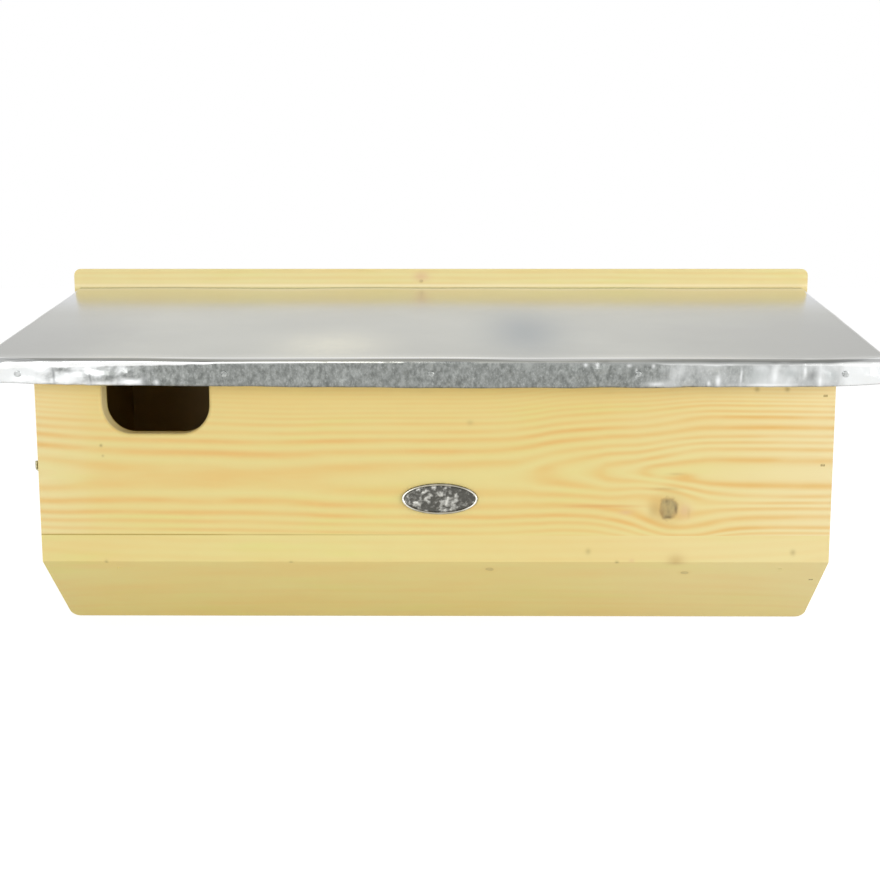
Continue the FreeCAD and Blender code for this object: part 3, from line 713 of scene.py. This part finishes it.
def top_relief(x, along):
    """The flat of the roof: long soft waves that only a reflection shows, and a lifted rear edge."""
    wave = 1 + noise.noise(Vector((x * 6, along * 9, 0.4)))
    rear = bell(along - SHEET_RUN, 0.014) * (1 + noise.noise(Vector((x * 13, 0, 5.2))))
    fold = bell(along, 0.006) * (1 + noise.noise(Vector((x * 16, 1.3, 2.2))))
    return 0.0003 * wave + 0.0006 * rear + 0.0004 * fold


def relief(point, facing):
    """Which part of the sheet a point belongs to, and how far it stands out there."""
    along = (point - on_sheet(0, 0, 0)).dot(ROOF_RISE)
    down = (on_sheet(0, 0, 0) - point).dot(ROOF_OUT)
    level = max(facing.dot(ROOF_OUT), 0)
    rake = abs(facing.x)
    ahead = max(-facing.dot(ROOF_RISE), 0)
    out = level * top_relief(point.x, along)
    if ahead > 0.01:
        out += ahead * flap_relief(point.x, down, FRONT_NAILS)
    if rake > 0.01:
        out += rake * flap_relief(along - 0.1, down, [nail - 0.1 for nail in RAKE_NAILS])
    return out


print("a nail holds the flap to", round(flap_relief(FRONT_NAILS[2], NAIL_DROP, FRONT_NAILS) * 1000, 3), "mm")

# %% [markdown]
# ### Shaping the sheet
# Every point of the lid moves out along its own direction, so the bends stay round. The sheet then gets its gauge on
# the inside, and the outer face stays where the dents put it.

# %% Shaping the sheet
SHEET_GAUGE = 0.0006
moves = [(vert, vert.normal * relief(vert.co, vert.normal)) for vert in lid.verts]
for vert, move in moves:
    vert.co += move
for face in lid.faces:
    face.smooth = True
sheet_mesh = bpy.data.meshes.new("zinc_sheet_folded")
lid.to_mesh(sheet_mesh)
lid.free()
zinc_sheet = put_in_scene("zinc_sheet_folded", sheet_mesh)
gauge = zinc_sheet.modifiers.new("gauge", "SOLIDIFY")
gauge.thickness = SHEET_GAUGE
gauge.offset = -1
print("largest dent:", round(max(move.length for _, move in moves) * 1000, 2), "mm")

# %% [markdown]
# ### Places on the sheet
# New zinc is a soft grey mirror, and most of what shows on it is wear and painted reflection, drawn from the place on
# the sheet. Three measures tell the places apart: across the roof, up its slope and down the flap. The bend is not
# quite straight, so a fourth says how far a point lies behind it. Several noises serve as clouds, spangle and rolling
# marks.

# %% Places on the sheet
BEND_WANDERS = [
    (-266, 6.0), (-252, 3.0), (-238, 0.6), (-225, -0.3), (-160, -0.5), (-80, -1.4), (-20, -0.7), (10, -0.6),
    (60, -1.6), (110, -1.5), (150, -1.2), (200, -1.5), (225, -0.9), (240, 0.6), (252, 2.6), (266, 5.5)]


def sheet_fields(tree):
    """The places on the folded sheet, in millimetres, and the noises that its finish is made of."""
    place = board_fields(tree, (0, FOLD_Y, FOLD_Z), RIGHT, tuple(ROOF_RISE))
    across, rise, out = place
    down = out * -1.0
    behind_bend = rise - curve(across, BEND_WANDERS)
    return SimpleNamespace(
        across=across, rise=rise, down=down, behind_bend=behind_bend, round_bend=down - behind_bend,
        cloud=grain_noise(place, (0.012, 0.016, 0.016), detail=3.0),
        mottle=grain_noise(place, (0.1, 0.1, 0.1), detail=4.0, rough=0.6),
        rolled=grain_noise(place, (0.02, 0.9, 0.9), detail=3.0),
        spangle=grain_noise(place, (0.3, 0.2, 0.2), detail=4.0, rough=0.65),
        fine=grain_noise(place, (0.9, 0.6, 0.6), detail=2.0, rough=0.6))


print("the bend wanders by up to", max(shift for _, shift in BEND_WANDERS), "mm at the corners")

# %% [markdown]
# ### The flat of the roof
# The flat mirrors the board behind it and the pale room, blurred by fine rolling marks. It is darker towards the
# two ends, painted brighter at the rear as a painted reflection, and has one pale and one bluish patch. A thin
# painted highlight runs along the fold.

# %% The flat of the roof
# How much darker the flat's colour is along the roof, from end to end.
DARKER_ENDS = [
    (-265, 0.9), (-215, 0.62), (-195, 0.35), (-160, 0.05), (-120, 0.0), (90, 0.0), (155, 0.35), (205, 0.6), (265, 0.9)]
LIT_FOLD = [
    (-265, 0.0), (-180, 0.1), (-150, 0.6), (-60, 1.0), (100, 1.0), (130, 0.6), (200, 0.3), (265, 0.1)]


def roof_shade(at):
    shade = tint(at.cloud.step(-0.7, 0.7), linear(196, 196, 188), linear(206, 206, 197))
    shade = tint(curve(at.across, DARKER_ENDS) * (1.0 - at.rise.step(60, 150) * 0.5), shade, linear(174, 174, 170))
    pale_patch = ((at.across + 62) / 30).bell() * ((at.rise - 34) / 30).bell()
    shade = tint(pale_patch * (at.mottle * 0.4 + 0.85), shade, linear(235, 232, 214))
    blue_patch = ((at.across - 56) / 24).bell() * ((at.rise - 70) / 55).bell()
    shade = tint(blue_patch, shade, linear(166, 171, 171))
    # Painted reflection: the flat is painted brighter and bluer towards the rear.
    shade = tint(at.rise.step(110, 195) * 0.85, shade, linear(238, 240, 244))
    # Painted highlight on the flat just behind the fold.
    fold_highlight = at.behind_bend.between(1.6, 2.6, 4.5, 8.0) * curve(at.across, LIT_FOLD)
    return tint(fold_highlight, shade, linear(244, 244, 240))


# The numbers below say how much darker the flat is at its ends and in its middle.
print("the flat is worn", DARKER_ENDS[0][1], "at its ends and", DARKER_ENDS[4][1], "in the middle")

# %% [markdown]
# ### The beaten flaps
# The flaps were beaten. Their colour is largely painted reflection: dull and clouded in the middle, and painted bright
# towards the corners, with painted streaks where the folding left slanted creases. The larger glints and crease shades
# are placed one by one, and noise fills in the rest.

# %% Marks on the flaps


def painted_bright_ends(across):
    """How far the front flap is painted bright, a painted reflection, from end to end of the sheet."""
    return curve(across, [
        (-266, 0.4), (-262, 0.9), (-236, 0.86), (-224, 0.7), (-197, 0.55), (-184, 0.4), (-172, 0.24), (-160, 0.12),
        (-120, 0.04), (-60, 0.0), (60, 0.0), (86, 0.06), (120, 0.15), (140, 0.3), (180, 0.46), (232, 0.56),
        (240, 0.88), (248, 0.93), (262, 0.95), (266, 0.4)])


# Painted glints and shade on the flaps: white glints where dents catch the light, painted dark shade in creases and
# grey painted reflections.
GLINT_WHITE = linear(236, 238, 238)
CREASE_SHADE = linear(122, 124, 124)
REFLECTED_GREY = linear(172, 177, 176)
FLAP_GLINTS_AND_SHADES = [
    (-235, 3.0, 3.5, 0.4, 0.5, CREASE_SHADE), (-220.4, 9, 0.8, 5, 0.75, CREASE_SHADE), (-217.5, 5.6, 2, 0.8, 0.6, CREASE_SHADE),
    (-211.5, 6.2, 3.5, 1.2, 0.6, CREASE_SHADE), (-210, 11.5, 7, 2.6, 0.9, GLINT_WHITE), (-199.1, 9.5, 0.7, 4.5, 0.7, CREASE_SHADE),
    (-200, 6, 4.5, 0.9, 0.55, CREASE_SHADE), (-193, 8.3, 3, 1.2, 0.5, CREASE_SHADE), (-194, 13.8, 4.5, 1.2, 0.8, GLINT_WHITE),
    (-186.9, 10.5, 1.2, 3.5, 0.5, CREASE_SHADE), (-177, 12.8, 6.5, 2.2, 0.95, GLINT_WHITE), (-168, 11, 2, 4, 0.5, CREASE_SHADE),
    (-161, 13, 1.6, 1.8, 0.6, GLINT_WHITE), (88, 2.0, 1.2, 1.4, 0.95, GLINT_WHITE), (94.6, 1.8, 1.2, 1.3, 0.95, GLINT_WHITE),
    (113.3, 2.6, 1.4, 1.2, 0.7, GLINT_WHITE), (117.5, 7.5, 0.7, 2.6, 0.7, GLINT_WHITE), (127.2, 2.8, 1.0, 1.6, 0.8, GLINT_WHITE),
    (129, 14, 5, 1.4, 0.7, GLINT_WHITE), (159.6, 13.5, 1, 1.6, 0.7, GLINT_WHITE), (165, 12, 1.6, 3.5, 0.9, GLINT_WHITE),
    (178.1, 9, 0.7, 4.5, 0.8, GLINT_WHITE), (187, 8.5, 7, 4, 0.6, REFLECTED_GREY), (197.6, 9, 1.8, 5, 0.8, GLINT_WHITE),
    (194, 14.4, 12, 0.9, 0.8, GLINT_WHITE), (206.5, 7.5, 5, 3, 0.6, REFLECTED_GREY), (214.8, 6.5, 0.9, 3, 0.95, GLINT_WHITE),
    (219, 8.5, 2.8, 4, 0.6, CREASE_SHADE), (223.9, 12, 0.9, 3, 0.9, GLINT_WHITE), (230.5, 8.5, 3.5, 3.5, 0.6, REFLECTED_GREY)]
print("marks placed on the flap:", len(FLAP_GLINTS_AND_SHADES))

# %% [markdown]
# ### Light and dark on the flaps
# Both ends of the front flap are painted bright as a painted reflection, and its middle stays dull and spangled. The
# placed glints and crease shades go over that, and then a painted highlight that follows the fold.

# %% Shade of the flaps
# Painted highlight below the fold: how far down the flap it reaches, in mm, from end to end.
FOLD_HIGHLIGHT_DEPTH = [
    (-265, 5.0), (-190, 3.4), (-150, 2.6), (-130, 1.9), (-78, 1.4), (-66, -0.5), (0, -1.0), (112, -1.0), (126, 1.0),
    (140, 2.4), (230, 2.8), (265, 5.0)]


def flap_shade(at):
    bright = painted_bright_ends(at.across)
    # Painted reflection: the streaks show where the painted bright ends fade into the dull middle.
    beaten = bright.between(0.02, 0.3, 0.85, 1.0)
    slanted_streaks = grain_noise((at.across + at.down * 0.5, at.down, at.rise), (0.09, 0.13, 0.0), detail=3.0, rough=0.55)
    streaked = grain_noise((at.across, at.down, at.rise), (0.06, 0.03, 0.0), detail=3.0, rough=0.55) * 0.5
    right_half = at.across.step(-60, 60)
    painted_streaks = slanted_streaks * (1.0 - right_half) + streaked * right_half
    # The spangle of the dull middle is the zinc's own; its dark grey is partly painted reflection.
    shade = tint(at.spangle.step(-0.5, 0.5), linear(104, 107, 104), linear(157, 160, 157))
    shade = tint(at.mottle.step(0.0, 0.7), shade, linear(160, 163, 160))
    shade = tint(at.fine.step(0.05, 0.6) * 0.5, shade, linear(190, 193, 190))
    shade = tint((at.fine * -1.0).step(0.05, 0.6) * 0.5, shade, linear(92, 95, 92))
    # Painted reflection: the bright ends and their streaks.
    shade = tint((bright + painted_streaks * beaten).step(0.1, 0.85), shade, linear(228, 230, 230))
    # Painted glints and crease shade, placed one by one.
    for *mark, mark_shade in FLAP_GLINTS_AND_SHADES:
        shade = tint(spot(at.across, at.down, mark), shade, mark_shade)
    # Painted highlight along the fold, down to its depth.
    below_highlight = (at.down - curve(at.across, FOLD_HIGHLIGHT_DEPTH) * (at.mottle * 0.3 + 1.0)).step(-0.5, 0.5)
    on_front = 1.0 - at.across.size().step(263.4, 264.8)
    shine = (1.0 - below_highlight) * at.round_bend.step(-1.3, -0.5) * on_front
    return tint(shine * 0.9, shade, linear(240, 241, 240))


# The depth printed is that of the painted highlight below the fold.
print("bright lip of the fold: up to", max(deep for _, deep in FOLD_HIGHLIGHT_DEPTH), "mm")

# %% [markdown]
# ### Zinc finish
# The two shades meet at the bend, softly at the corners, and a painted grey line, a painted dark reflection, follows
# the fold. The flaps are rougher than the flat, and only they have a spangle that can be felt.

# %% Zinc finish
SOFT_CORNER = [(-266, 4.0), (-258, 2.5), (-246, 1.0), (246, 1.0), (258, 2.5), (266, 4.0)]
FOLD_LINE_WIDTH = [(-265, 0.9), (80, 0.9), (130, 1.5), (230, 1.6), (265, 0.9)]
FOLD_LINE_AT = 0.2
FOLD_LINE_STRENGTH = [
    (-264, 0.0), (-254, 0.45), (-150, 0.5), (-130, 0.75), (-80, 0.7), (-50, 0.3), (50, 0.3), (80, 0.6),
    (160, 0.9), (225, 0.9), (250, 0.5), (264, 0.0)]


def zinc_finish():
    material, tree, shader = new_finish("zinc", metallic=1.0)
    at = sheet_fields(tree)
    ahead = 1.0 - (at.behind_bend / curve(at.across, SOFT_CORNER)).step(0.3, 1.4)
    colour = tint(ahead.most(at.down.step(0.6, 1.8)), roof_shade(at), flap_shade(at))
    wide = curve(at.across, FOLD_LINE_WIDTH)
    # Painted dark reflection along the fold.
    fold_dark_line = ((at.round_bend - FOLD_LINE_AT) / wide).bell() * curve(at.across, FOLD_LINE_STRENGTH)
    colour = tint(fold_dark_line, colour, linear(158, 160, 158))
    flap = at.down.step(0.8, 3.0)
    rough = at.mottle * 0.02 + at.rolled * 0.02 + flap * 0.15 + at.rise.step(100, 180) * 0.055 + 0.17
    height = at.mottle * 0.4 * flap + at.spangle * 0.35 * flap + at.rolled * 0.03
    set_finish(tree, shader, colour, rough, height, strength=0.3, distance=0.0006)
    return material


sheet_mesh.materials.append(zinc_finish())
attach(zinc_sheet, "box")
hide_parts("zinc_roof_sheet")
print("zinc sheet rides on the box")

# %% [markdown]
# ## Oval plate
# A small cast plate is pinned to the middle of the front. It is bare here: a rounded rim round a slightly crowned
# field with a hammered texture. Rings of points at growing insets from the oval give an even rim all round,
# which scaling one oval would not.

# %% Oval plate
PLATE_AT = Vector((0.003, -0.186, 0.0883))
PLATE_HALF = (23.0, 9.5)
RIM = [(0.0, 0.0), (0.0, 0.9), (0.12, 1.25), (0.4, 1.5), (0.75, 1.6), (1.1, 1.5), (1.4, 1.22), (1.6, 0.9), (1.8, 0.78)]
FIELD = [0.97, 0.92, 0.86, 0.8, 0.73, 0.66, 0.59, 0.52, 0.45, 0.38, 0.31, 0.24, 0.17, 0.1]
RIM_WIDE = RIM[-1][0]
CROWN_HALF = 21.0
SPOKES = 144


def oval_ring(mesh, half_wide, half_tall, height):
    ring = []
    for spoke in range(SPOKES):
        turn = 2 * math.pi * spoke / SPOKES
        x, z = half_wide * math.cos(turn), half_tall * math.sin(turn)
        beaten = 0.12 * noise.noise(Vector((x * 0.45, z * 0.45, 1.7))) if height is None else 0
        level = 0.9 + 0.25 * (1 - (x / CROWN_HALF) ** 2) + beaten if height is None else height
        ring.append(mesh.verts.new(PLATE_AT + Vector((x, -level, z)) / 1000))
    return ring


cast = bmesh.new()
ovals = [oval_ring(cast, PLATE_HALF[0] - inset, PLATE_HALF[1] - inset, height) for inset, height in RIM]
field_wide, field_tall = (half - RIM_WIDE for half in PLATE_HALF)
ovals += [oval_ring(cast, field_wide * share, field_tall * share, None) for share in FIELD]
for outer, inner in zip(ovals, ovals[1:]):
    for spoke in range(SPOKES):
        after = (spoke + 1) % SPOKES
        cast.faces.new((outer[spoke], outer[after], inner[after], inner[spoke]))
cast.faces.new(ovals[-1])
cast.faces.new(list(reversed(ovals[0])))
bmesh.ops.recalc_face_normals(cast, faces=cast.faces)
for face in cast.faces:
    face.smooth = True
plate_mesh = bpy.data.meshes.new("cast_oval_plate")
cast.to_mesh(plate_mesh)
cast.free()
plate = put_in_scene("cast_oval_plate", plate_mesh)
print("plate faces:", len(plate_mesh.polygons))

# %% [markdown]
# ### Pewter finish
# The plate is cast in a grey metal and tumbled, so its hollows stay dark and everything that stands up is polished.
# The height above the panel tells field from rim, and a hammered noise breaks both up. The rim is brightest at its
# two ends, which is painted here as a painted highlight.

# %% Pewter finish


def pewter_finish():
    material, tree, shader = new_finish("pewter", metallic=1.0)
    side, up, deep = board_fields(tree, tuple(PLATE_AT), RIGHT, UP)
    hammered = grain_noise((side, up, deep), (0.32, 0.36, 0.32), detail=2.0, rough=0.45)
    sunk = 1.0 - deep.size().step(1.2, 1.45)
    # Painted highlight: the rim is brighter at its two ends.
    ends = side.size().step(12.0, 20.0)
    rim_shade = tint(ends, linear(166, 162, 148), linear(222, 220, 210))
    colour = tint(sunk, rim_shade, linear(84, 83, 78))
    colour = tint(sunk * hammered.step(-0.1, 0.5) * 0.85, colour, linear(198, 197, 190))
    set_finish(tree, shader, colour, hammered * 0.06 + 0.3, hammered * sunk, strength=0.5, distance=0.0006)
    return material


plate_mesh.materials.append(pewter_finish())
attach(plate, "box")
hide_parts("oval_plate")
print("plate rides on the box")

# %% [markdown]
# ## Nails and hook
# Thin brads hold the boards, and broad clout nails hold the sheet. They are bought parts, so they keep their CAD
# shape and only need a worn steel finish. The hook that holds the door is bent from the same sort of wire. The
# clout heads carry the flap's painted bright ends, a painted reflection.

# %% Nails and hook


def wire_finish(name, bright, dull, rough, shine=None, metal=1.0):
    material, tree, shader = new_finish(name, metal)
    fields = board_fields(tree, (0, 0, 0), RIGHT, UP)
    worn = grain_noise(fields, (0.7, 0.7, 0.7), detail=3.0, rough=0.6)
    colour = tint(worn.step(-0.4, 0.4), dull, bright)
    # A painted highlight, where a shine is given.
    if shine:
        colour = tint(shine(fields[0]), colour, GLINT_WHITE)
    set_finish(tree, shader, colour, worn * 0.08 + rough, worn, strength=0.2, distance=0.0002)
    return material


def ease_edges(node_name, width):
    """Rounds the sharp edges of a CAD piece, as a punch leaves a nail's head."""
    piece = nodes[node_name]
    weld = piece.modifiers.new("joined", "WELD")
    weld.merge_threshold = 0.00001
    bevel = piece.modifiers.new("eased", "BEVEL")
    bevel.width = width
    bevel.segments = 2
    bevel.limit_method = "ANGLE"
    bevel.angle_limit = math.radians(35)
    bevel.use_clamp_overlap = False


brad_steel = wire_finish("brad_steel", linear(200, 180, 126), linear(158, 142, 96), 0.5, metal=0.5)
# The clout heads get the flap's painted bright ends, a painted reflection.
clout_steel = wire_finish(
    "clout_steel", linear(178, 181, 178), linear(126, 129, 127), 0.3, lambda across: painted_bright_ends(across) * 0.5)
hook_steel = wire_finish("hook_steel", linear(188, 182, 148), linear(126, 118, 84), 0.4)
for name in nodes:
    if name.endswith("flap_nails"):
        dress(name, clout_steel)
        ease_edges(name, 0.0003)
    elif name.endswith(("nails", "nail")):
        dress(name, brad_steel)
    elif name == "turn_hook":
        dress(name, hook_steel)
print("steel finishes on", sum("nail" in name or "hook" in name for name in nodes), "pieces")

# %% [markdown]
# ## Stage and light
# The picture was taken in a white tent: the ground has no visible end, and the light comes softly from all sides.
# A white floor that is only lit would turn grey, so the floor also glows where the camera sees it. The glow is
# kept from the diffuse light, so it doesn't brighten the box.

# %% Floor
FLOOR_HALF = 12.0
FLOOR_BELOW = -0.0004
FLOOR_LIT = 0.9
FLOOR_SEEN = 0.4
FLOOR_GLOW = 0.85


def seen_by_camera(tree):
    """1 for what the camera sees, straight or in a mirror, and 0 for the light that falls on the box."""
    path = tree.nodes.new("ShaderNodeLightPath")
    seen = Field(tree, path.outputs["Is Camera Ray"])
    for ray in ("Is Glossy Ray", "Is Transmission Ray"):
        seen = seen.most(Field(tree, path.outputs[ray]))
    return seen


def floor_finish():
    material, tree, shader = new_finish("pale_floor")
    tree.nodes.remove(shader)
    lit, seen = (tree.nodes.new("ShaderNodeBsdfDiffuse") for _ in range(2))
    lit.inputs["Color"].default_value = (FLOOR_LIT, FLOOR_LIT, FLOOR_LIT, 1)
    seen.inputs["Color"].default_value = (FLOOR_SEEN, FLOOR_SEEN, FLOOR_SEEN, 1)
    glow = tree.nodes.new("ShaderNodeEmission")
    glow.inputs["Strength"].default_value = FLOOR_GLOW
    both = tree.nodes.new("ShaderNodeAddShader")
    tree.links.new(seen.outputs[0], both.inputs[0])
    tree.links.new(glow.outputs[0], both.inputs[1])
    choice = tree.nodes.new("ShaderNodeMixShader")
    tree.links.new(seen_by_camera(tree).socket, choice.inputs[0])
    tree.links.new(lit.outputs[0], choice.inputs[1])
    tree.links.new(both.outputs[0], choice.inputs[2])
    tree.links.new(choice.outputs[0], tree.nodes["Material Output"].inputs["Surface"])
    return material


floor_mesh = bpy.data.meshes.new("pale_floor")
corners = [(x * FLOOR_HALF, y * FLOOR_HALF, FLOOR_BELOW) for x, y in ((-1, -1), (1, -1), (1, 1), (-1, 1))]
floor_mesh.from_pydata(corners, [], [(0, 1, 2, 3)])
floor_mesh.materials.append(floor_finish())
floor = put_in_scene("pale_floor", floor_mesh)
print("floor half width:", FLOOR_HALF, "m")

# %% [markdown]
# ### Room and lamps
# A dim even room fills the shadows. The zinc sees it too, and the ceiling is darker there than the walls, which
# gives the roof its grey slope. A large key lamp on the right, a weaker one on the left and a soft one above
# stand for the tent's three lit sides. The lamp above is kept out of the mirror, or the roof would turn white.

# %% Room and lamps
ROOM_LIGHT = 0.42
CEILING_DIMMER = 0.45
world = bpy.data.worlds.new("white_room")
bpy.context.scene.world = world
world.use_nodes = True
sky = world.node_tree
background = sky.nodes["Background"]
background.inputs["Color"].default_value = (1, 1, 1, 1)
height = sky.nodes.new("ShaderNodeSeparateXYZ")
sky.links.new(sky.nodes.new("ShaderNodeTexCoord").outputs["Generated"], height.inputs[0])
ceiling = 1.0 - Field(sky, height.outputs["Z"]).step(0.24, 0.75) * CEILING_DIMMER
seen = seen_by_camera(sky)
strength = ceiling * seen + (1.0 - seen) * ROOM_LIGHT
sky.links.new(strength.socket, background.inputs["Strength"])


def soft_lamp(name, place, target, size, watts):
    data = bpy.data.lights.new(name, "AREA")
    data.shape = "RECTANGLE"
    data.size, data.size_y = size
    data.energy = watts
    lamp = put_in_scene(name, data)
    lamp.location = place
    lamp.rotation_euler = (Vector(target) - Vector(place)).to_track_quat("-Z", "Y").to_euler()
    return lamp


MIDDLE = (0, -0.12, 0.12)
soft_lamp("key_lamp", (1.9, -1.2, 0.38), MIDDLE, (1.5, 0.72), 21)
soft_lamp("fill_lamp", (-0.9, -1.9, 0.42), MIDDLE, (1.6, 0.8), 11.5)
top_lamp = soft_lamp("top_lamp", (0.0, -0.2, 1.8), MIDDLE, (1.8, 1.4), 8)
top_lamp.visible_glossy = False
print("room light:", ROOM_LIGHT, "lamps: 3")
